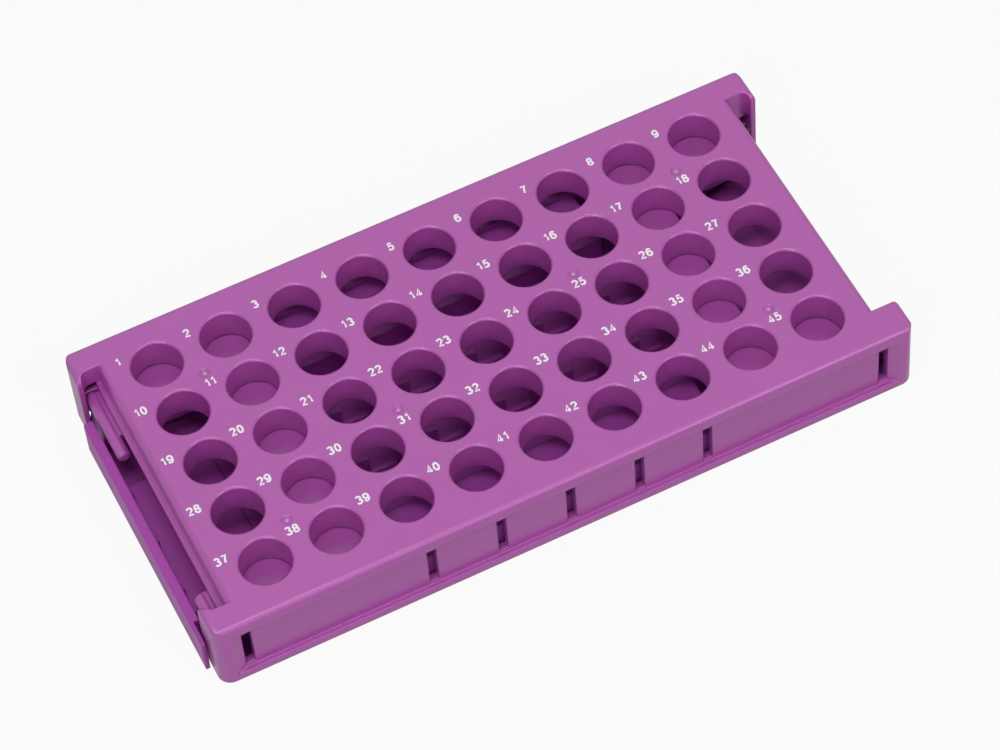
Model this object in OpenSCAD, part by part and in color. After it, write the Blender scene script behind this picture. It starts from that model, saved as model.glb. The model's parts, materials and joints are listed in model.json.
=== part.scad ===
// Lift-up rack for forty-five microcentrifuge tubes, shown closed flat.
// A top tray with a grid of sleeved wells sits over a shallow base tray. One U-shaped leg is
// hinged in the corner ears at each end of the top tray. The legs lie flat under the first two
// columns of wells at their own end and swing down onto landings in the base as the top is raised.
// Frame: X along the length, Y across (front at -Y), Z up, origin at the centre of the underside.

/* [Wells] */
// Number of well columns along the length
columns = 9; // [8:1:10]
// Number of well rows across the width
rows = 5; // [4:1:6]
// Distance between columns
pitch_x = 16; // [14.6:0.2:20]
// Distance between rows
pitch_y = 14; // [13.7:0.1:17]
// Bore of a well, for the body of a 1.5 ml or 2 ml tube
well_d = 11.2; // [9:0.1:11.4]
// Chamfer at the mouth of a well
well_chamfer = 0.4; // [0.2:0.1:0.6]
// Wall of the sleeve around a well
sleeve_wall = 1.0; // [0.8:0.1:1.1]
// Depth of a sleeve below the top face
sleeve_depth = 7.6; // [6:0.2:8.6]

/* [Top tray] */
// Distance from the outer rows' centres to the front and back faces
edge_margin_y = 12; // [11.5:0.5:16]
// Distance from the outer columns' centres to the plate's end edge
edge_margin_x = 11.2; // [11:0.2:16]
// How far an ear stands out past the plate's end edge
ear_reach = 5.8; // [5.6:0.2:6.6]
// Length of an ear's top along Y
ear_width = 6.4; // [6:0.2:7.4]
// Plan radius at an ear's outer corner
corner_r = 3; // [2:0.25:3.5]
// Height of the closed rack
flat_height = 19.5; // [18.5:0.5:24]
// Thickness of the plate
plate_t = 1.8; // [1.4:0.1:2.2]
// Thickness of the long skirts
skirt_t = 1.8; // [1.4:0.1:2]
// Rounding of the top outer edges
edge_r = 1.5; // [0.8:0.1:1.8]
// Depth of the recessed panel in each long skirt
panel_recess = 1.2; // [0.6:0.1:1.4]
// Height of the plain band above the panel
band_h = 3.2; // [2.6:0.2:4.4]
// Height of the flange below the panel
flange_h = 2; // [1.4:0.2:2.6]
// Gap between the skirts and the surface the rack stands on
skirt_lift = 0.5; // [0.3:0.1:1]
// Width of a slot in the long skirts
slot_w = 2.2; // [1.6:0.2:3]
// How far the slots stop short of the panel's top and bottom edges
slot_inset = 0.8; // [0.4:0.2:2]
// How far the end slots lie past the outer columns' centres
end_slot_out = 9.9; // [9:0.1:10.5]
// How far the lip of an end skirt stands out
lip_out = 1.2; // [0.6:0.2:1.4]
// Height of the lip of an end skirt
lip_h = 1.4; // [1:0.2:2]

/* [Base tray] */
// Thickness of the floor
floor_t = 1.2; // [1:0.1:1.3]
// Thickness of the side walls
side_wall_t = 1.8; // [1.4:0.1:2]
// Height of the side walls
side_wall_h = 8.6; // [7:0.2:8.8]
// Gap between the side walls and the top tray's skirts
skirt_gap = 0.6; // [0.4:0.1:0.8]
// Height of the end rails
rail_h = 9.5; // [8.8:0.1:10]
// Thickness of the end rails
rail_t = 2.2; // [1.6:0.2:2.6]
// How far the end rails stand out past the ears
rail_out = 1.4; // [1.2:0.1:2.4]
// Gap between a rail's end and an ear
rail_end_gap = 3.2; // [1:0.2:6]
// Height of the raised ledges beside the middle columns
ledge_h = 7; // [5:0.2:8]
// Height of the low panel inside each end rail
end_panel_h = 4.6; // [3:0.2:6]
// Height of the four landings that the feet stand on
landing_h = 8.5; // [8.3:0.1:8.6]

/* [Legs] */
// Thickness of a leg
leg_t = 2.4; // [1.8:0.1:2.6]
// Distance from the hinge line to the tip of the foot
leg_length = 36.2; // [35.8:0.1:36.6]
// Diameter of the round bar along the hinge line
knuckle_d = 3.0; // [2.8:0.1:3.2]
// Diameter of the hinge pins
pin_d = 2.4; // [2:0.1:2.6]
// Radial running clearance of a hinge pin in its socket
pin_clearance = 0.05; // [0.02:0.01:0.1]
// Gap between the legs and the sleeves above them
leg_gap = 0.3; // [0.2:0.05:0.5]
// Gap between the legs and the walls beside them
leg_side_gap = 0.8; // [0.5:0.1:1.2]

/* [Hidden] */
$fn = 48;
EPS = 0.01;          // overlap of joined solids
CUT = 1;             // how far a cutter runs past the face it opens

// Wells
first_x = -(columns - 1) / 2 * pitch_x;
first_y = -(rows - 1) / 2 * pitch_y;
well_r = well_d / 2;
sleeve_r = well_r + sleeve_wall;
sleeve_z = flat_height - sleeve_depth;         // underside of the sleeves

// Top tray
plate_x = -first_x + edge_margin_x;            // plate's end edge
half_y = -first_y + edge_margin_y;             // front and back faces
ear_x = plate_x + ear_reach;                   // ear's end face
ear_y = half_y - ear_width;                    // ear's inner face
skirt_y = half_y - panel_recess - skirt_t;     // inner face of the long skirts
plate_z = flat_height - plate_t;               // underside of the plate
end_skirt_t = 1.8;                             // wall below the plate's end edge
ear_wall_t = 1.2;                              // end wall and inner wall of an ear
ear_wrap = 2.2;                                // ear's end wall past its top
ear_gap = 0.3;                                 // between a knuckle bar and the ear's end wall
ear_overhang = 1.7;                            // front right ear's top past its inner wall
ear_fillet = 2;                                // plan radius inside an ear, above its knuckle bar
fillet_gap = 0.4;                              // between a knuckle bar and that rounding
ear_drop = 3.2;                                // ear's inner wall below the hinge line
panel_out = 2.4;
panel_x = plate_x + panel_out;                 // recessed panel's end at the skirt's face
panel_ramp = 2.4;                              // slope at the end of the panel
panel_z0 = skirt_lift + flange_h;
panel_z1 = flat_height - band_h;
slot_x = concat([first_x - end_slot_out],
                [for (c = [2 : columns - 3]) first_x + c * pitch_x],
                [-first_x + end_slot_out]);
socket_relief = 0.5;                           // moulding slot above a left pin's hole
socket_slot_w = 3.4;
socket_slot_h = 2.2;
right_slot_w = 1.6;                            // moulding slot in a right ear, beside the pin's hole
right_slot_z0 = 7.6;
right_slot_z1 = 10.8;
gate_r = 1.1;                                  // dimple around a moulding gate mark
gate_depth = 0.3;
gates = [[0.5, 0.5], [0.5, rows - 1.5], [2.5, 1.5], [columns - 3.5, rows - 2.5],
         [columns - 1.5, 0.5], [columns - 1.5, rows - 1.5]];

// Legs
leg_z1 = sleeve_z - leg_gap;                   // upper face of a closed leg
leg_z0 = leg_z1 - leg_t;
hinge_z = leg_z1 - leg_t / 2;
knuckle_r = knuckle_d / 2;
hinge_x = ear_x - ear_wall_t - ear_gap - knuckle_r;
right_inset = 1.8;                             // right hinge line lies this much nearer the middle
end_skirt_gap = 0.4;                           // between a knuckle bar and the end skirt above it
end_skirt_z = hinge_z + knuckle_r + end_skirt_gap;
pin_r = pin_d / 2;
socket_r = pin_r + pin_clearance;
side_wall_in = skirt_y - skirt_gap - side_wall_t;
leg_y = side_wall_in - leg_side_gap;           // outer edge of an arm
arm_inset = 1;                                 // arm's inner edge past the outer row's sleeves
arm_y = -first_y - sleeve_r - arm_inset;       // inner edge of an arm
foot_r = leg_t / 2;                            // rounded tip of the foot
foot_x = hinge_x - leg_length + foot_r;        // centre of the rounded tip
crossbar_out = 0.4;                            // crossbar's edge past the second column's sleeves
crossbar_x = -first_x - pitch_x + sleeve_r + crossbar_out;
knuckle_gap = 0.4;                             // between a knuckle bar and the ear's inner wall
knuckle_y = ear_y - knuckle_gap;               // outer end of a knuckle bar
pin_short = 0.2;                               // pin ends this far inside the wall's far face
long_knuckle = 17.8;
short_knuckle = 9.4;
bar_chamfer = 0.5;                             // at a bar's inner end
neck = 6.4;                                    // narrow stretch of an arm between the ears
arm_end_gap = 0.6;                             // between an arm's end and its knuckle bar's line
fork_r = 3;                                    // inner corners of the fork

// A foot swings past the floor and ends just above its landing
foot_gap = 0.2;
lift = landing_h + foot_gap + leg_length - hinge_z;

// Centre of a foot's round tip when its leg has turned by a degrees, as the top rises in proportion
function foot(a) = [hinge_x, hinge_z + lift * a / 90] - (leg_length - foot_r) * [cos(a), sin(a)];
// Point of the track that stays clear of the foot at that turn
function track(a) = let (d = foot(a + 0.5) - foot(a - 0.5))
    foot(a) + (foot_r + foot_gap) * [d[1], -d[0]] / norm(d);
lowest_turn = acos(2 * lift / (PI * (leg_length - foot_r)));
// Place along X where the track has a given height, and its height at a place along X
function track_x(z) = lookup(z, [for (a = [lowest_turn : 1 : 90]) [track(a)[1], track(a)[0]]]);
function track_z(x) = lookup(x, [for (a = [lowest_turn : 1 : 90]) track(a)]);

// Base tray
base_y = skirt_y - skirt_gap;                  // outer face of the side walls
floor_gap = 0.6;
base_x = ear_x - ear_wall_t - floor_gap;       // floor's end between the ears' end walls
base_r = 2;                                    // plan radius at the floor's corners
side_wall_x = -first_x + end_slot_out - slot_w; // side walls stop clear of the end slots
rail_x = ear_x + rail_out;
rail_in = rail_x - rail_t;
rail_y = ear_y - ear_wrap - rail_end_gap;
rail_r = 0.8;
tongue_y = -34.2;                              // rail's front end, outside the front ear
tongue_gap = 0.4;                              // between that end and the ear
ledge_y = -first_y - sleeve_r - 0.4;           // inner edge of a ledge
skin_t = 1.4;                                  // ledges and landings are hollow below
foot_room = 2.6;
inner_x = foot_x - foot_r - foot_room;         // ledges and ribs stop clear of the feet
rib_t = 1.4;
rib_h = 8;
rib_gap = 6;                                   // notch in a rib beside each well
rib_foot = 1;                                  // height of a rib's notched stretch above the floor
panel_y0 = -23.2;                              // left end's low panel, from front to back
panel_y1 = 12.4;
right_panel_y = 23.2;                          // right end's low panel, to each side
landing_inset = 0.4;                           // landings lie under the knuckle bars
landing_y0 = knuckle_y - short_knuckle + landing_inset;
landing_y1 = knuckle_y - landing_inset / 2;
ramp_end = 0.4;                                // height above the floor where a ramp ends
hollow_end = 1;                                // height of a landing's hollow at its low end
hollow_flat = 0.8;                             // shortest level stretch at a hollow's top
rail_rib_pitch = 13.4;                         // small ribs on a rail's inner face
rail_rib_reach = 0.6;

// ---- shared shapes ----

// Section with its two upper corners rounded, from z0 to z1
module crowned(half_w, z0, z1, r) {
    translate([-half_w, z0]) square([2 * half_w, z1 - z0 - r]);
    translate([-half_w + r, z0]) square([2 * (half_w - r), z1 - z0]);
    for (s = [-1, 1]) translate([s * (half_w - r), z1 - r]) circle(r);
}

// Block with its four upper edges rounded
module crowned_block(half_x, half_w, z0, z1, r) {
    intersection() {
        rotate([90, 0, 0]) linear_extrude(2 * half_w, center = true) crowned(half_x, z0, z1, r);
        rotate([90, 0, 90]) linear_extrude(2 * half_x, center = true) crowned(half_w, z0, z1, r);
    }
}

// Rectangle with rounded corners, centred on the origin
module round_rect(half_x, half_w, r) {
    square([2 * half_x, 2 * (half_w - r)], center = true);
    square([2 * (half_x - r), 2 * half_w], center = true);
    for (s = [-1, 1], t = [-1, 1]) translate([s * (half_x - r), t * (half_w - r)]) circle(r);
}

// Box between two corners
module between(low, high) {
    translate(low) cube(high - low);
}

// The same shape at both ends
module both_ends() {
    children();
    mirror([1, 0, 0]) children();
}

// Shapes drawn round hinge_x, moved to the left or the right leg's hinge line
module left_end() {
    mirror([1, 0, 0]) children();
}

module right_end() {
    translate([-right_inset, 0, 0]) children();
}

// The same shape at front and back
module both_sides() {
    children();
    mirror([0, 1, 0]) children();
}

// Children at every well
module each_well() {
    for (c = [0 : columns - 1], r = [0 : rows - 1])
        translate([first_x + c * pitch_x, first_y + r * pitch_y]) children();
}

// ---- top tray ----

// Plate, skirts and ears as one block, before it is hollowed
module tray_block() {
    crowned_block(plate_x, half_y, skirt_lift, flat_height, edge_r);
    intersection() {
        crowned_block(ear_x, half_y, skirt_lift, flat_height, edge_r);
        linear_extrude(flat_height) round_rect(ear_x, half_y, corner_r);
        union() {
            both_sides() both_ends()
                between([plate_x - edge_r - EPS, ear_y, 0], [ear_x + CUT, half_y + CUT, flat_height]);
            both_sides() mirror([1, 0, 0]) ear_end_wall();
            ear_end_wall();
            mirror([0, 1, 0]) front_right_ear_end();
        }
    }
}

// Top and end wall of the front right ear, which run on level to a rounded corner
module front_right_ear_end() {
    end_y = ear_y - ear_overhang;
    difference() {
        union() {
            between([plate_x - edge_r - EPS, end_y, plate_z], [ear_x + CUT, ear_y + EPS, flat_height]);
            between([ear_x - ear_wall_t, end_y, 0], [ear_x + CUT, ear_y + EPS, flat_height]);
        }
        translate([ear_x - ear_wall_t, end_y, -CUT]) linear_extrude(flat_height + 2 * CUT) difference() {
            translate([0, -CUT]) square(ear_wall_t + CUT);
            translate([0, ear_wall_t]) circle(ear_wall_t);
        }
    }
}

// End wall of an ear, which runs a little past the ear's top with a rounded corner
module ear_end_wall() {
    inner = [ear_x - ear_wall_t, ear_y];
    intersection() {
        translate([inner[0] - ear_fillet, 0, 0]) rotate([90, 0, 90])
            linear_extrude(ear_fillet + ear_wall_t + CUT) ear_wrap_profile();
        union() {
            between([inner[0], ear_y - ear_wrap, 0], [ear_x + CUT, ear_y + EPS, flat_height]);
            translate([0, 0, hinge_z + knuckle_r + fillet_gap]) linear_extrude(flat_height) difference() {
                translate(inner - [1, 1] * ear_fillet) square(ear_fillet + EPS);
                translate(inner - [1, 1] * ear_fillet) circle(ear_fillet);
            }
        }
    }
}

// Side view of an ear's end wall where it runs past the ear's top
module ear_wrap_profile() {
    translate([ear_y - ear_wrap, skirt_lift])
        square([ear_wrap + EPS, flat_height - skirt_lift - ear_wrap]);
    translate([ear_y, flat_height - ear_wrap]) intersection() {
        circle(ear_wrap);
        translate([-ear_wrap, 0]) square([ear_wrap + EPS, ear_wrap]);
    }
}

// Space under the plate, open below
module tray_hollow() {
    between([-plate_x + end_skirt_t, -skirt_y, -CUT], [plate_x - end_skirt_t, skirt_y, plate_z]);
    both_sides() both_ends() {
        // pocket between an ear's inner wall and the long skirt
        between([plate_x - end_skirt_t - CUT, ear_y + ear_wall_t, -CUT],
                [ear_x - ear_wall_t, skirt_y, plate_z]);
        // below the ear's inner wall
        between([plate_x - end_skirt_t - CUT, ear_y - CUT, -CUT],
                [ear_x - ear_wall_t, ear_y + ear_wall_t + CUT, hinge_z - ear_drop]);
    }
    // below the end skirts
    both_ends() between([plate_x - end_skirt_t - CUT, -ear_y, -CUT], [plate_x + CUT, ear_y, end_skirt_z]);
}

// Recessed panel and slots of one long skirt
module skirt_panel() {
    translate([0, 0, panel_z0]) linear_extrude(panel_z1 - panel_z0) polygon([
        [-panel_x - CUT * panel_ramp / panel_recess, half_y + CUT],
        [-panel_x + panel_ramp, half_y - panel_recess],
        [panel_x - panel_ramp, half_y - panel_recess],
        [panel_x + CUT * panel_ramp / panel_recess, half_y + CUT]]);
    for (x = slot_x)
        between([x - slot_w / 2, skirt_y - CUT, panel_z0 + slot_inset],
                [x + slot_w / 2, half_y, panel_z1 - slot_inset]);
}

// Opening through an ear's inner wall, in X from x0 to x1 and in Z from z0 to z1
module wall_slot(x0, x1, z0, z1) {
    between([x0, ear_y - CUT, z0], [x1, ear_y + ear_wall_t + CUT, z1]);
}

// Hole for a hinge pin
module pin_socket(x) {
    translate([x, ear_y - CUT, hinge_z]) rotate([-90, 0, 0])
        cylinder(h = ear_wall_t + 2 * CUT, r = socket_r);
}

// Pin holes and moulding slots of the left ears, drawn at +X
module left_sockets() {
    slot_z = hinge_z + pin_r + socket_relief;
    pin_socket(hinge_x);
    wall_slot(hinge_x - socket_slot_w / 2, hinge_x + socket_slot_w / 2, slot_z, slot_z + socket_slot_h);
}

// Pin holes and moulding slots of the right ears
module right_sockets() {
    inner = ear_x - ear_wall_t;
    pin_socket(hinge_x - right_inset);
    wall_slot(inner - right_slot_w, inner, right_slot_z0, right_slot_z1);
}

module top_tray() {
    color([0.66, 0.42, 0.65]) difference() {
        union() {
            difference() {
                tray_block();
                tray_hollow();
            }
            translate([0, 0, sleeve_z]) linear_extrude(sleeve_depth - plate_t + EPS)
                each_well() circle(sleeve_r);
            both_ends() between([plate_x - EPS, -ear_y, end_skirt_z],
                                [plate_x + lip_out, ear_y, end_skirt_z + lip_h]);
        }
        each_well() {
            translate([0, 0, sleeve_z - CUT]) cylinder(h = sleeve_depth + 2 * CUT, r = well_r);
            translate([0, 0, flat_height - well_chamfer])
                cylinder(h = 2 * well_chamfer, r1 = well_r, r2 = well_r + 2 * well_chamfer);
        }
        both_sides() skirt_panel();
        both_sides() {
            mirror([1, 0, 0]) left_sockets();
            right_sockets();
        }
        for (g = gates)
            translate([first_x + g[0] * pitch_x, first_y + g[1] * pitch_y, flat_height - gate_depth])
                cylinder(h = CUT, r = gate_r);
    }
}

// ---- legs ----

// Knuckle bar between two distances along Y, and the pin past its outer end
module knuckle(y0, y1) {
    translate([hinge_x, y0, hinge_z]) rotate([-90, 0, 0]) {
        cylinder(h = bar_chamfer + EPS, r1 = knuckle_r - bar_chamfer, r2 = knuckle_r + EPS);
        translate([0, 0, bar_chamfer]) cylinder(h = y1 - y0 - bar_chamfer, r = knuckle_r);
    }
    translate([hinge_x, y1 - EPS, hinge_z]) rotate([-90, 0, 0])
        cylinder(h = ear_y + ear_wall_t - pin_short - y1, r = pin_r);
}

// One arm of the fork in plan, up to its knuckle bar
module arm_plan(bar_inner_y) {
    translate([crossbar_x - EPS, arm_y])
        square([hinge_x - neck - crossbar_x, leg_y - arm_y]);
    translate([hinge_x - neck - 2 * EPS, arm_y])
        square([neck - knuckle_r - arm_end_gap, knuckle_y - arm_y]);
    translate([hinge_x - neck, max(arm_y, bar_inner_y)])
        square([neck, knuckle_y - max(arm_y, bar_inner_y)]);
    difference() {
        translate([crossbar_x - EPS, arm_y - fork_r]) square(fork_r + EPS);
        translate([crossbar_x + fork_r, arm_y - fork_r]) circle(fork_r);
    }
}

// Fork-shaped leg, hinged at hinge_x, foot towards the middle
module leg() {
    translate([0, 0, leg_z0]) linear_extrude(leg_t) {
        translate([foot_x, -leg_y]) square([crossbar_x - foot_x, 2 * leg_y]);
        arm_plan(knuckle_y - short_knuckle);
        mirror([0, 1]) arm_plan(knuckle_y - long_knuckle);
    }
    translate([foot_x, 0, hinge_z]) rotate([90, 0, 0]) cylinder(h = 2 * leg_y, r = foot_r, center = true);
    knuckle(knuckle_y - short_knuckle, knuckle_y);
    mirror([0, 1, 0]) knuckle(knuckle_y - long_knuckle, knuckle_y);
}

module right_leg() {
    color([0.6, 0.36, 0.6]) translate([-right_inset, 0, 0]) leg();
}

module left_leg() {
    color([0.6, 0.36, 0.6]) rotate([0, 0, 180]) leg();
}

// ---- base tray ----

// Floor outline: the body between the ears' walls, and the left end that carries the rail
module floor_plan() {
    round_rect(base_x, base_y, base_r);
    translate([-rail_x, -rail_y]) square([rail_x, 2 * rail_y]);
}

// Section of the rail, with its outer upper edge rounded
module rail_section() {
    translate([rail_in, 0]) square([rail_t, rail_h - rail_r]);
    translate([rail_in, 0]) square([rail_t - rail_r, rail_h]);
    translate([rail_x - rail_r, rail_h - rail_r]) circle(rail_r);
}

// Rail across the left end, drawn at +X: its front end runs on outside the ear as a thin tongue
module end_rail() {
    translate([0, rail_y, 0]) rotate([90, 0, 0]) linear_extrude(2 * rail_y) rail_section();
    translate([0, -rail_y + EPS, 0]) rotate([90, 0, 0]) linear_extrude(-rail_y - tongue_y + EPS)
        intersection() {
            rail_section();
            translate([ear_x + tongue_gap, 0]) square([rail_out, rail_h]);
        }
    for (i = [-1 : 1])
        translate([0, (panel_y0 + panel_y1) / 2 + i * rail_rib_pitch, 0])
            between([rail_in - rail_rib_reach, -rib_t / 2, 0], [rail_in + EPS, rib_t / 2, rail_h - rail_r]);
}

// Side view of a landing at the +X end: level top, then a ramp that follows the foot's track
function landing_outline(outer_x, top, end_z) = concat(
    [[outer_x, 0], [outer_x, top], [track_x(top), top]],
    [for (a = [88 : -4 : lowest_turn]) let (p = track(a)) if (p[1] < top && p[1] > end_z) p],
    [[track_x(end_z), end_z], [track_x(end_z), 0]]);

// Landing between two distances along Y
module landing(y0, y1, outer_x, top) {
    translate([0, y1, 0]) rotate([90, 0, 0]) linear_extrude(y1 - y0)
        polygon(landing_outline(outer_x, top, floor_t + ramp_end));
}

// Hollow under a landing
module landing_hollow(y0, y1, outer_x, top) {
    hollow_top = min(top, track_z(outer_x - skin_t - hollow_flat));
    translate([0, y1 - skin_t, -skin_t]) rotate([90, 0, 0]) linear_extrude(y1 - y0 - 2 * skin_t)
        polygon(landing_outline(outer_x - skin_t, hollow_top, skin_t + hollow_end));
}

// Raised ledge behind one side wall
module ledge() {
    between([-inner_x, ledge_y, 0], [inner_x - right_inset, side_wall_in + EPS, ledge_h]);
}

module ledge_hollow() {
    between([-inner_x + skin_t, ledge_y + skin_t, -CUT],
            [inner_x - right_inset - skin_t, side_wall_in - skin_t, ledge_h - skin_t]);
}

// Stiffening rib between two rows of wells, notched beside each column
module comb_rib(y) {
    difference() {
        between([-inner_x, y - rib_t / 2, 0], [inner_x - right_inset, y + rib_t / 2, rib_h]);
        for (c = [2 : columns - 3])
            between([first_x + c * pitch_x, y - rib_t, floor_t + rib_foot],
                    [first_x + c * pitch_x + rib_gap, y + rib_t, rib_h + CUT]);
    }
}

module base_tray() {
    color([0.58, 0.33, 0.57]) difference() {
        union() {
            linear_extrude(floor_t) floor_plan();
            both_sides() between([-side_wall_x, side_wall_in, 0], [side_wall_x, base_y, side_wall_h]);
            both_sides() ledge();
            mirror([1, 0, 0]) end_rail();
            left_end() landing(panel_y0, panel_y1, rail_in + EPS, end_panel_h);
            right_end() landing(-right_panel_y, right_panel_y, base_x + right_inset, end_panel_h);
            left_end() both_sides() landing(landing_y0, landing_y1, base_x, landing_h);
            right_end() both_sides() landing(landing_y0, landing_y1, base_x, landing_h);
            for (i = [1 : rows - 3]) comb_rib(first_y + (i + 0.5) * pitch_y);
        }
        both_sides() ledge_hollow();
        left_end() landing_hollow(panel_y0, panel_y1, rail_in + EPS, end_panel_h);
        right_end() landing_hollow(-right_panel_y, right_panel_y, base_x + right_inset, end_panel_h);
        left_end() both_sides() landing_hollow(landing_y0, landing_y1, base_x, landing_h);
        right_end() both_sides() landing_hollow(landing_y0, landing_y1, base_x, landing_h);
    }
}

top_tray();
base_tray();
left_leg();
right_leg();
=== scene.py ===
"""Looks of a lift-up rack for forty-five microcentrifuge tubes.

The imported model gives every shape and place. Each moulding is taken over as a copy with
softened edges and a satin finish, and the printed well numbers and the gate marks are added.
All lengths are in metres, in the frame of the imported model, and all angles in radians unless
a name says degrees.
"""

from __future__ import annotations

import json
import logging
import math
from dataclasses import dataclass
from enum import Enum

import bmesh
import bpy
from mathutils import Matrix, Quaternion, Vector


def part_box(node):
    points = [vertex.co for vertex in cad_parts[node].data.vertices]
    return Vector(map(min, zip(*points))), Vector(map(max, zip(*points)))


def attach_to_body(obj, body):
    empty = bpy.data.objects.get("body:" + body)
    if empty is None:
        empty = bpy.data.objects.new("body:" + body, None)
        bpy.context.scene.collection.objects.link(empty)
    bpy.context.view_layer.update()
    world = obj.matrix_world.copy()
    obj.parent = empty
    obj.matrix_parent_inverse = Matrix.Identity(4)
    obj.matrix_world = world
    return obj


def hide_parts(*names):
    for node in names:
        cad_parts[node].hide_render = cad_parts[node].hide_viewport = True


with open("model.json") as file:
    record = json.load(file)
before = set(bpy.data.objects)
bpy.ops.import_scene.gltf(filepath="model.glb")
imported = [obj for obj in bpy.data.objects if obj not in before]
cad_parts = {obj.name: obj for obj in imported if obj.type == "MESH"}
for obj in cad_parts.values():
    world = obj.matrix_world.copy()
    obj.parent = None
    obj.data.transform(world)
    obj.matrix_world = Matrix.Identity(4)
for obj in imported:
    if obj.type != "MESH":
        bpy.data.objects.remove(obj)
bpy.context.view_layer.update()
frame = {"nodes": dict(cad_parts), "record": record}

LOG = logging.getLogger("rack")
WHITE = (1.0, 1.0, 1.0, 1.0)
ARC_STEP_DEGREES = 15
Colour = tuple[float, float, float]
Point = tuple[float, float]


class Body(Enum):
    """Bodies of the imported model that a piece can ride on."""

    BASE = "base"
    TOP = "top"
    LEFT_LEG = "left_leg"
    RIGHT_LEG = "right_leg"


class Slot(Enum):
    """Material slots of the record."""

    TRAY = "tray_plastic"
    BASE = "base_plastic"
    LEG = "leg_plastic"
    INK = "number_ink"


def linear(red: int, green: int, blue: int) -> Colour:
    """Turns an 8-bit display colour into the linear values that a shader takes.

    Args:
        red: Red, from 0 to 255.
        green: Green, from 0 to 255.
        blue: Blue, from 0 to 255.

    Returns:
        The same colour as three linear values from 0 to 1.
    """

    def channel(value: int) -> float:
        """Linear value of one channel."""
        share = value / 255
        return share / 12.92 if share <= 0.04045 else ((share + 0.055) / 1.055) ** 2.4

    return channel(red), channel(green), channel(blue)


@dataclass(frozen=True)
class SatinPlastic:
    """Moulded polypropylene: satin, finely grained, faintly clouded and soft at its edges.

    The sheen is the roughness, which wanders between its low and high value over the skin.
    """

    name: str
    colour: Colour
    cloud_colour: Colour
    cloud_scale: float = 38.0
    cloud_detail: float = 3.0
    sheen_low: float = 0.285
    sheen_high: float = 0.34
    sheen_scale: float = 160.0
    sheen_detail: float = 2.0
    sheen_reach: tuple[float, float] = (0.3, 0.7)
    grain_scale: float = 3800.0
    grain_detail: float = 2.0
    grain_depth: float = 0.000012
    grain_strength: float = 0.35
    gloss: float = 0.75
    refraction: float = 1.49
    edge_radius: float = 0.00055
    edge_samples: int = 6

    def build(self) -> bpy.types.Material:
        """Makes the material.

        Returns:
            The node material of this plastic.
        """
        material = bpy.data.materials.new(self.name)
        material.use_nodes = True
        nodes, links = material.node_tree.nodes, material.node_tree.links
        shader = nodes["Principled BSDF"]
        place = nodes.new("ShaderNodeTexCoord").outputs["Object"]

        clouds = self._noise(nodes, links, place, self.cloud_scale, self.cloud_detail)
        shade = nodes.new("ShaderNodeMix")
        shade.data_type = "RGBA"
        shade.inputs["A"].default_value = (*self.colour, 1)
        shade.inputs["B"].default_value = (*self.cloud_colour, 1)
        links.new(clouds, shade.inputs["Factor"])
        links.new(shade.outputs["Result"], shader.inputs["Base Color"])

        patches = self._noise(nodes, links, place, self.sheen_scale, self.sheen_detail)
        sheen = nodes.new("ShaderNodeMapRange")
        sheen.inputs["From Min"].default_value = self.sheen_reach[0]
        sheen.inputs["From Max"].default_value = self.sheen_reach[1]
        sheen.inputs["To Min"].default_value = self.sheen_low
        sheen.inputs["To Max"].default_value = self.sheen_high
        links.new(patches, sheen.inputs["Value"])
        links.new(sheen.outputs["Result"], shader.inputs["Roughness"])

        grain = self._noise(nodes, links, place, self.grain_scale, self.grain_detail)
        bump = nodes.new("ShaderNodeBump")
        bump.inputs["Strength"].default_value = self.grain_strength
        bump.inputs["Distance"].default_value = self.grain_depth
        edge = nodes.new("ShaderNodeBevel")
        edge.samples = self.edge_samples
        edge.inputs["Radius"].default_value = self.edge_radius
        links.new(edge.outputs["Normal"], bump.inputs["Normal"])
        links.new(grain, bump.inputs["Height"])
        links.new(bump.outputs["Normal"], shader.inputs["Normal"])

        shader.inputs["IOR"].default_value = self.refraction
        shader.inputs["Specular IOR Level"].default_value = self.gloss
        return material

    @staticmethod
    def _noise(
        nodes: bpy.types.Nodes,
        links: bpy.types.NodeLinks,
        place: bpy.types.NodeSocket,
        scale: float,
        detail: float,
    ) -> bpy.types.NodeSocket:
        """Adds a noise texture.

        Args:
            nodes: Nodes of the material.
            links: Links of the material.
            place: Coordinates that the noise follows.
            scale: Noise scale, in features a metre.
            detail: Noise detail.

        Returns:
            The noise value's socket.
        """
        noise = nodes.new("ShaderNodeTexNoise")
        noise.inputs["Scale"].default_value = scale
        noise.inputs["Detail"].default_value = detail
        links.new(place, noise.inputs["Vector"])
        return noise.outputs["Fac"]


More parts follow.
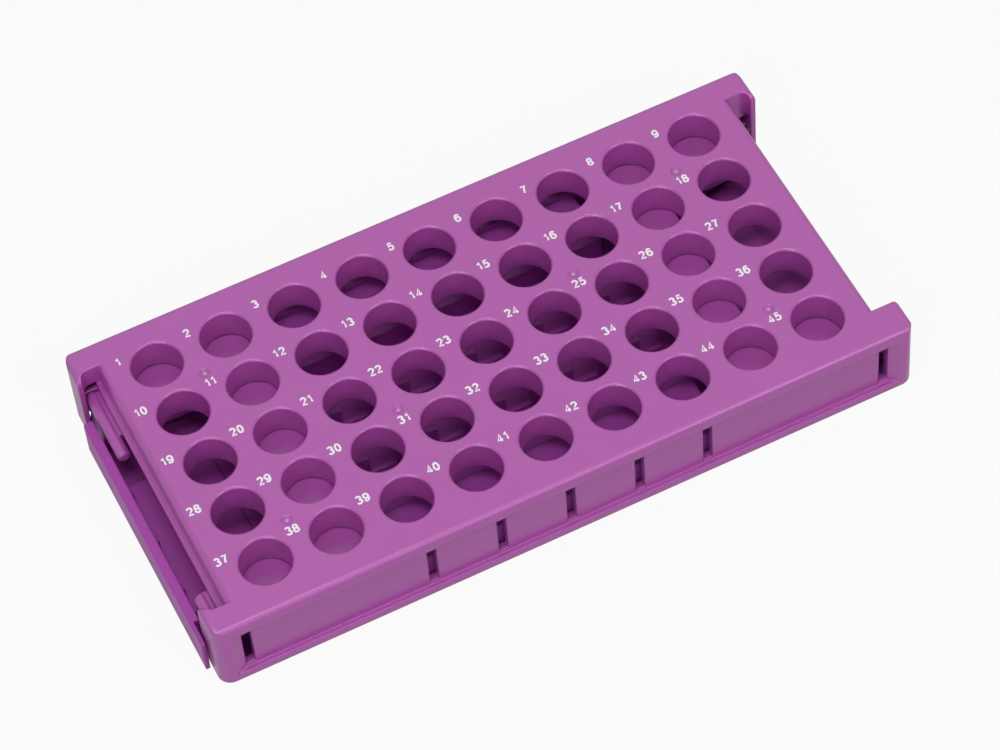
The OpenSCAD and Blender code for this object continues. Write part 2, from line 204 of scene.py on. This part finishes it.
@dataclass(frozen=True)
class PrintedInk:
    """White pad-printed ink, a little uneven where it is thin."""

    name: str
    colour: Colour
    thin_colour: Colour
    mottle_scale: float = 2600.0
    mottle_depth: float = 0.00001
    mottle_strength: float = 0.3
    roughness: float = 0.5

    def build(self) -> bpy.types.Material:
        """Makes the material.

        Returns:
            The node material of this ink.
        """
        material = bpy.data.materials.new(self.name)
        material.use_nodes = True
        nodes, links = material.node_tree.nodes, material.node_tree.links
        shader = nodes["Principled BSDF"]
        place = nodes.new("ShaderNodeTexCoord").outputs["Object"]
        mottle = nodes.new("ShaderNodeTexNoise")
        mottle.inputs["Scale"].default_value = self.mottle_scale
        links.new(place, mottle.inputs["Vector"])
        shade = nodes.new("ShaderNodeMix")
        shade.data_type = "RGBA"
        shade.inputs["A"].default_value = (*self.thin_colour, 1)
        shade.inputs["B"].default_value = (*self.colour, 1)
        links.new(mottle.outputs["Fac"], shade.inputs["Factor"])
        links.new(shade.outputs["Result"], shader.inputs["Base Color"])
        bump = nodes.new("ShaderNodeBump")
        bump.inputs["Strength"].default_value = self.mottle_strength
        bump.inputs["Distance"].default_value = self.mottle_depth
        links.new(mottle.outputs["Fac"], bump.inputs["Height"])
        links.new(bump.outputs["Normal"], shader.inputs["Normal"])
        shader.inputs["Roughness"].default_value = self.roughness
        return material


TRAY_PLASTIC = SatinPlastic("tray_plastic", linear(171, 78, 165), linear(167, 74, 161))
BASE_PLASTIC = SatinPlastic(
    "base_plastic",
    linear(165, 68, 166),
    linear(161, 64, 162),
    sheen_low=0.4,
    sheen_high=0.48,
    gloss=0.35,
)
LEG_PLASTIC = SatinPlastic("leg_plastic", linear(170, 77, 165), linear(166, 73, 161))
# The gate stubs are coloured lighter than the tray, partly for the whitening that gate stubs have
# and partly as a painted highlight, so that they show as bright dots.
GATE_BLUSH_AND_PAINTED_HIGHLIGHT = SatinPlastic("gate_blush_and_painted_highlight", linear(222, 150, 214), linear(205, 130, 198))
NUMBER_INK = PrintedInk("number_ink", linear(250, 248, 250), linear(232, 224, 234))


def attach(piece: bpy.types.Object, body: Body) -> None:
    """Makes a piece ride on a body.

    Args:
        piece: The piece, in place.
        body: The body that it moves with.
    """
    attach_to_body(piece, body.value)
    LOG.info("%s rides on %s", piece.name, body.value)


def new_piece(name: str, mesh: bpy.types.Mesh, material: bpy.types.Material) -> bpy.types.Object:
    """Links a mesh into the scene as a piece.

    Args:
        name: Name of the piece.
        mesh: Its mesh, in the model's frame.
        material: Its only material.

    Returns:
        The new object.
    """
    mesh.materials.clear()
    mesh.materials.append(material)
    piece = bpy.data.objects.new(name, mesh)
    bpy.context.scene.collection.objects.link(piece)
    return piece


@dataclass
class Moulding:
    """One moulded plastic piece, taken over from its CAD node with softened edges."""

    node: str
    body: Body
    slot: Slot
    finish: SatinPlastic
    edge_width: float = 0.00042
    edge_steps: int = 3
    sharp_angle: float = math.radians(40)
    flat_angle: float = math.radians(0.5)
    weld: float = 0.0000001
    sliver: float = 0.000001

    def build(self) -> bpy.types.Object:
        """Builds the piece and hides the node that it stands for.

        Returns:
            The finished object.
        """
        mesh = frame["nodes"][self.node].data.copy()
        custom = mesh.attributes.get("custom_normal")
        if custom is not None:
            mesh.attributes.remove(custom)
        shape = bmesh.new()
        shape.from_mesh(mesh)
        bmesh.ops.remove_doubles(shape, verts=shape.verts, dist=self.weld)
        bmesh.ops.dissolve_limit(
            shape,
            angle_limit=self.flat_angle,
            verts=shape.verts,
            edges=shape.edges,
            use_dissolve_boundaries=False,
        )
        bmesh.ops.recalc_face_normals(shape, faces=shape.faces)
        self.reshape(shape)
        for face in shape.faces:
            face.smooth = True
        shape.to_mesh(mesh)
        shape.free()
        piece = new_piece(self.node + "_moulding", mesh, self.finish.build())
        self._soften(piece)
        attach(piece, self.body)
        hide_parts(self.node)
        return piece

    def reshape(self, shape: bmesh.types.BMesh) -> None:
        """Changes the cleaned shape before its edges are softened; most need nothing."""

    def _soften(self, piece: bpy.types.Object) -> None:
        """Rounds the sharp edges as far as their corners leave room, and drops slivers.

        Args:
            piece: The piece, whose mesh is replaced by the rounded one.
        """
        bevel = piece.modifiers.new("soft_edges", "BEVEL")
        bevel.width = self.edge_width
        bevel.segments = self.edge_steps
        bevel.limit_method = "ANGLE"
        bevel.angle_limit = self.sharp_angle
        bevel.use_clamp_overlap = True
        bevel.miter_outer = "MITER_SHARP"
        graph = bpy.context.evaluated_depsgraph_get()
        mesh = bpy.data.meshes.new_from_object(piece.evaluated_get(graph))
        piece.modifiers.remove(bevel)
        piece.data = mesh
        shape = bmesh.new()
        shape.from_mesh(mesh)
        bmesh.ops.dissolve_degenerate(shape, dist=self.sliver, edges=shape.edges)
        shape.to_mesh(mesh)
        shape.free()
        normals = piece.modifiers.new("flat_faces", "WEIGHTED_NORMAL")
        normals.keep_sharp = True


@dataclass
class TopTray(Moulding):
    """The top tray, with its top face lowered by the thickness of the printed ink."""

    ink_room: float = 0.00003

    def reshape(self, shape: bmesh.types.BMesh) -> None:
        """Lowers the top face a hair, so that the ink stays inside the model's height."""
        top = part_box(self.node)[1].z
        for vertex in shape.verts:
            if vertex.co.z > top - self.ink_room:
                vertex.co.z = top - self.ink_room


@dataclass
class WellGrid:
    """Centres of the wells, read from the record's mounts."""

    def centres(self) -> dict[int, Vector]:
        """Gives the well centres.

        Returns:
            The place of each well's mount, by well number.
        """
        return {
            int(mount["name"].split("_")[1]): Vector(mount["pos_m"])
            for mount in frame["record"]["mounts"]
            if mount["name"].startswith("well_")
        }


def arc(centre: Point, reach: Point, start: float, end: float) -> list[Point]:
    """Points along a part of an ellipse.

    Args:
        centre: Centre of the ellipse.
        reach: Its half width and half height.
        start: First angle in degrees, anticlockwise from the right.
        end: Last angle in degrees.

    Returns:
        Points about ARC_STEP_DEGREES apart.
    """
    steps = max(2, round(abs(end - start) / ARC_STEP_DEGREES))
    turns = [math.radians(start + (end - start) * step / steps) for step in range(steps + 1)]
    return [(centre[0] + reach[0] * math.cos(t), centre[1] + reach[1] * math.sin(t)) for t in turns]


@dataclass(frozen=True)
class Digits:
    """Plain sans-serif digits, drawn as centre lines on a cell of breadth by height."""

    stroke: float = 0.23
    breadth: float = 0.46
    height: float = 0.82
    advance: float = 0.735
    narrowing: float = 0.115

    def width(self, text: str) -> float:
        """Width of a text, in which a 1 takes less room than the other digits."""
        return len(text) * self.advance - text.count("1") * self.narrowing

    def lines(self, digit: str) -> list[list[Point]]:
        """Gives the centre lines of a digit.

        Args:
            digit: One of the ten digits.

        Returns:
            Its strokes, each as a list of points.
        """
        six = [
            arc((0.235, 0.26), (0.225, 0.26), 0, 360),
            arc((0.26, 0.41), (0.25, 0.41), 195, 38),
        ]
        shapes = {
            "0": [arc((0.23, 0.41), (0.22, 0.41), 0, 360)],
            "1": [[(0.25, 0.0), (0.25, 0.84), (0.18, 0.72), (0.03, 0.63)]],
            "2": [arc((0.23, 0.59), (0.22, 0.23), 170, -30) + [(0.02, 0.0), (0.47, 0.0)]],
            "3": [
                arc((0.22, 0.62), (0.20, 0.20), 160, -90),
                arc((0.22, 0.215), (0.23, 0.215), 90, -160),
            ],
            "4": [[(0.34, 0.0), (0.34, 0.82), (0.0, 0.20), (0.49, 0.20)]],
            "5": [
                [(0.43, 0.82), (0.10, 0.82), (0.04, 0.42)]
                + arc((0.22, 0.265), (0.235, 0.265), 125, -155)
            ],
            "6": six,
            "7": [[(0.0, 0.82), (0.46, 0.82), (0.33, 0.58), (0.22, 0.30), (0.18, 0.0)]],
            "8": [
                arc((0.23, 0.62), (0.19, 0.20), 0, 360),
                arc((0.23, 0.21), (0.23, 0.21), 0, 360),
            ],
            "9": [[(self.breadth - x, self.height - y) for x, y in line] for line in six],
        }
        return shapes[digit]


@dataclass
class WellNumbers:
    """Printed numbers, one at the upper left of each well."""

    finish: PrintedInk
    tray: TopTray
    digits: Digits = Digits()
    digit_height: float = 0.0023
    right_edge: float = -0.0061
    base_line: float = 0.0032
    ink_rise: float = 0.000026
    stroke_facets: int = 2

    def build(self, centres: dict[int, Vector]) -> bpy.types.Object:
        """Builds all numbers as one printed piece.

        Args:
            centres: The wells' centres by number.

        Returns:
            The printed piece.
        """
        scale = self.digit_height / (self.digits.height + self.digits.stroke)
        curve = bpy.data.curves.new("well_numbers", "CURVE")
        curve.dimensions = "3D"
        curve.bevel_depth = self.digits.stroke / 2 * scale
        curve.bevel_resolution = self.stroke_facets
        curve.use_fill_caps = True
        for number, centre in sorted(centres.items()):
            text = str(number)
            for place, digit in enumerate(text):
                left = self.right_edge - self.digits.width(text[place:]) * scale
                self._add_digit(curve, digit, Vector((centre.x + left, centre.y)), scale)
        drawn = bpy.data.objects.new("drawn_numbers", curve)
        bpy.context.scene.collection.objects.link(drawn)
        bpy.context.view_layer.update()
        mesh = bpy.data.meshes.new_from_object(drawn)
        bpy.data.objects.remove(drawn)
        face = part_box(self.tray.node)[1].z - self.tray.ink_room
        flatten = self.ink_rise / curve.bevel_depth
        for vertex in mesh.vertices:
            vertex.co.z = face + vertex.co.z * flatten
        mesh.name = "well_numbers"
        piece = new_piece("well_numbers", mesh, self.finish.build())
        attach(piece, Body.TOP)
        return piece

    def _add_digit(
        self, curve: bpy.types.Curve, digit: str, corner: Vector, scale: float
    ) -> None:
        """Adds one digit's strokes.

        Args:
            curve: Curve that takes the strokes.
            digit: The digit.
            corner: Left end of its base line.
            scale: Metres in one unit of the digit's drawing.
        """
        for line in self.digits.lines(digit):
            closed = math.dist(line[0], line[-1]) < self.digits.stroke / 10
            points = line[:-1] if closed else line
            spline = curve.splines.new("POLY")
            spline.points.add(len(points) - 1)
            spline.use_cyclic_u = closed
            for point, (x, y) in zip(spline.points, points):
                point.co = (
                    corner.x + x * scale,
                    corner.y + self.base_line + (y + self.digits.stroke / 2) * scale,
                    0,
                    1,
                )


@dataclass
class GateMarks:
    """Small round stubs left in the dimples where the plastic flowed into the mould."""

    # This finish is lighter than the tray: partly gate whitening, partly a painted highlight on the
    # stubs.
    finish: SatinPlastic
    cells: tuple[tuple[int, int], ...] = ((1, 11), (28, 38), (21, 31), (15, 25), (8, 18), (35, 45))
    radius: float = 0.00045
    height: float = 0.00027
    sunk: float = 0.0003
    steps: int = 24
    outline: tuple[Point, ...] = ((1.0, -0.4), (1.0, 0.45), (0.86, 0.8), (0.5, 1.0))

    def build(self, centres: dict[int, Vector]) -> bpy.types.Object:
        """Builds all stubs as one piece.

        Args:
            centres: The wells' centres by number.

        Returns:
            The piece with the six stubs.
        """
        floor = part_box("top_tray")[1].z - self.sunk
        shape = bmesh.new()
        for first, second in self.cells:
            middle = (centres[first] + centres[second]) / 2
            self._add_stub(shape, Vector((middle.x, middle.y, floor)))
        mesh = bpy.data.meshes.new("gate_marks")
        shape.to_mesh(mesh)
        shape.free()
        for face in mesh.polygons:
            face.use_smooth = True
        piece = new_piece("gate_marks", mesh, self.finish.build())
        attach(piece, Body.TOP)
        return piece

    def _add_stub(self, shape: bmesh.types.BMesh, foot: Vector) -> None:
        """Adds one rounded stub.

        Args:
            shape: Mesh that takes the stub.
            foot: Middle of the dimple's floor that it stands on.
        """
        turns = [math.tau * step / self.steps for step in range(self.steps)]
        rings = []
        for share, level in self.outline:
            reach, rise = share * self.radius, level * self.height
            rings.append(
                [
                    shape.verts.new(foot + Vector((math.cos(t) * reach, math.sin(t) * reach, rise)))
                    for t in turns
                ]
            )
        for lower, upper in zip(rings, rings[1:]):
            for step in range(self.steps):
                after = (step + 1) % self.steps
                shape.faces.new((lower[step], lower[after], upper[after], upper[step]))
        shape.faces.new(rings[-1])
        shape.faces.new(reversed(rings[0]))


@dataclass(frozen=True)
class Lamp:
    """A square soft lamp that points at the rack."""

    name: str
    place: tuple[float, float, float]
    side: float
    watts: float

    def build(self) -> None:
        """Hangs the lamp."""
        data = bpy.data.lights.new(self.name, "AREA")
        data.size = self.side
        data.energy = self.watts
        lamp = bpy.data.objects.new(self.name, data)
        bpy.context.scene.collection.objects.link(lamp)
        lamp.location = self.place
        lamp.rotation_euler = (-Vector(self.place)).to_track_quat("-Z", "Y").to_euler()


LAMPS = (
    Lamp("left_lamp", (-0.67, -0.56, 0.67), 0.5, 2.8),
    Lamp("right_lamp", (0.4, -0.79, 0.65), 0.5, 2.7),
    Lamp("top_lamp", (-0.12, -0.2, 1.07), 0.45, 3.75),
    Lamp("back_lamp", (0.17, 0.58, 0.92), 0.9, 0.82),
)


@dataclass
class Studio:
    """Camera, pale floor, even light from all round and soft lamps.

    The white that the eye and gloss see is set apart from the light that falls on the rack.
    """

    lens: float = 150.0
    target: tuple[float, float, float] = (-0.0014, -0.00928, 0.0195)
    azimuth: float = math.radians(-21.49)
    elevation: float = math.radians(54.58)
    roll: float = math.radians(-5.75)
    distance: float = 0.873
    nearest: float = 0.05
    farthest: float = 10.0
    fill: float = 0.3
    floor_colour: Colour = (0.5, 0.5, 0.5)
    floor_half: float = 3.0
    shown_white: float = 0.93
    mirrored_white: float = 0.5

    def add_camera(self) -> None:
        """Sets up the camera."""
        data = bpy.data.cameras.new("camera")
        data.lens = self.lens
        data.clip_start = self.nearest
        data.clip_end = self.farthest
        camera = bpy.data.objects.new("camera", data)
        bpy.context.scene.collection.objects.link(camera)
        bpy.context.scene.camera = camera
        away = Vector(
            (
                math.sin(self.azimuth) * math.cos(self.elevation),
                -math.cos(self.azimuth) * math.cos(self.elevation),
                math.sin(self.elevation),
            )
        )
        camera.location = Vector(self.target) + away * self.distance
        camera.rotation_mode = "QUATERNION"
        camera.rotation_quaternion = (-away).to_track_quat("-Z", "Y") @ Quaternion(
            (0, 0, 1), self.roll
        )

    def add_floor(self) -> None:
        """Lays the floor: pale, and white to the eye where nothing shades it."""
        half = self.floor_half
        mesh = bpy.data.meshes.new("floor")
        mesh.from_pydata(
            [(-half, -half, 0), (half, -half, 0), (half, half, 0), (-half, half, 0)],
            [],
            [(0, 1, 2, 3)],
        )
        material = bpy.data.materials.new("floor")
        material.use_nodes = True
        nodes, links = material.node_tree.nodes, material.node_tree.links
        matt = nodes["Principled BSDF"]
        matt.inputs["Base Color"].default_value = (*self.floor_colour, 1)
        matt.inputs["Roughness"].default_value = 1.0
        matt.inputs["Specular IOR Level"].default_value = 0.0
        glow = nodes.new("ShaderNodeEmission")
        glow.inputs["Color"].default_value = WHITE
        mix = nodes.new("ShaderNodeMixShader")
        links.new(self._seen(nodes, links, self.shown_white, self.mirrored_white), mix.inputs[0])
        links.new(matt.outputs["BSDF"], mix.inputs[1])
        links.new(glow.outputs["Emission"], mix.inputs[2])
        links.new(mix.outputs["Shader"], nodes["Material Output"].inputs["Surface"])
        floor = new_piece("floor", mesh, material)

    def add_light(self) -> None:
        """Lights the scene: a dim world that the eye and gloss see white, and the lamps."""
        world = bpy.data.worlds.new("studio")
        bpy.context.scene.world = world
        world.use_nodes = True
        nodes, links = world.node_tree.nodes, world.node_tree.links
        dim = nodes["Background"]
        dim.inputs["Color"].default_value = WHITE
        dim.inputs["Strength"].default_value = self.fill
        white = nodes.new("ShaderNodeBackground")
        white.inputs["Color"].default_value = WHITE
        white.inputs["Strength"].default_value = 1.0
        mix = nodes.new("ShaderNodeMixShader")
        links.new(self._seen(nodes, links, 1.0, 1.0), mix.inputs[0])
        links.new(dim.outputs["Background"], mix.inputs[1])
        links.new(white.outputs["Background"], mix.inputs[2])
        links.new(mix.outputs["Shader"], nodes["World Output"].inputs["Surface"])
        for lamp in LAMPS:
            lamp.build()

    @staticmethod
    def _seen(
        nodes: bpy.types.Nodes, links: bpy.types.NodeLinks, share: float, mirrored: float
    ) -> bpy.types.NodeSocket:
        """Adds the share by which what the eye and mirrors see is plain white.

        Args:
            nodes: Nodes of the tree.
            links: Links of the tree.
            share: Share for rays of the camera and through glass.
            mirrored: Share for rays of gloss.

        Returns:
            Socket with the share for those rays, and 0 for the others.
        """
        path = nodes.new("ShaderNodeLightPath")
        shares = {"Is Camera Ray": share, "Is Transmission Ray": share, "Is Glossy Ray": mirrored}
        total = None
        for ray, part in shares.items():
            scale = nodes.new("ShaderNodeMath")
            scale.operation = "MULTIPLY"
            scale.inputs[1].default_value = part
            links.new(path.outputs[ray], scale.inputs[0])
            if total is None:
                total = scale.outputs["Value"]
                continue
            highest = nodes.new("ShaderNodeMath")
            highest.operation = "MAXIMUM"
            links.new(total, highest.inputs[0])
            links.new(scale.outputs["Value"], highest.inputs[1])
            total = highest.outputs["Value"]
        return total


def main() -> None:
    """Builds the studio, the four mouldings, the numbers and the gate marks."""
    logging.basicConfig(level=logging.INFO, format="%(message)s")
    bpy.context.scene.view_settings.view_transform = "Standard"
    studio = Studio()
    studio.add_camera()
    studio.add_floor()
    studio.add_light()
    centres = WellGrid().centres()
    tray = TopTray("top_tray", Body.TOP, Slot.TRAY, TRAY_PLASTIC)
    tray.build()
    Moulding("base_tray", Body.BASE, Slot.BASE, BASE_PLASTIC).build()
    Moulding("left_leg", Body.LEFT_LEG, Slot.LEG, LEG_PLASTIC).build()
    Moulding("right_leg", Body.RIGHT_LEG, Slot.LEG, LEG_PLASTIC).build()
    WellNumbers(NUMBER_INK, tray).build(centres)
    GateMarks(GATE_BLUSH_AND_PAINTED_HIGHLIGHT).build(centres)


if __name__ == "__main__":
    main()
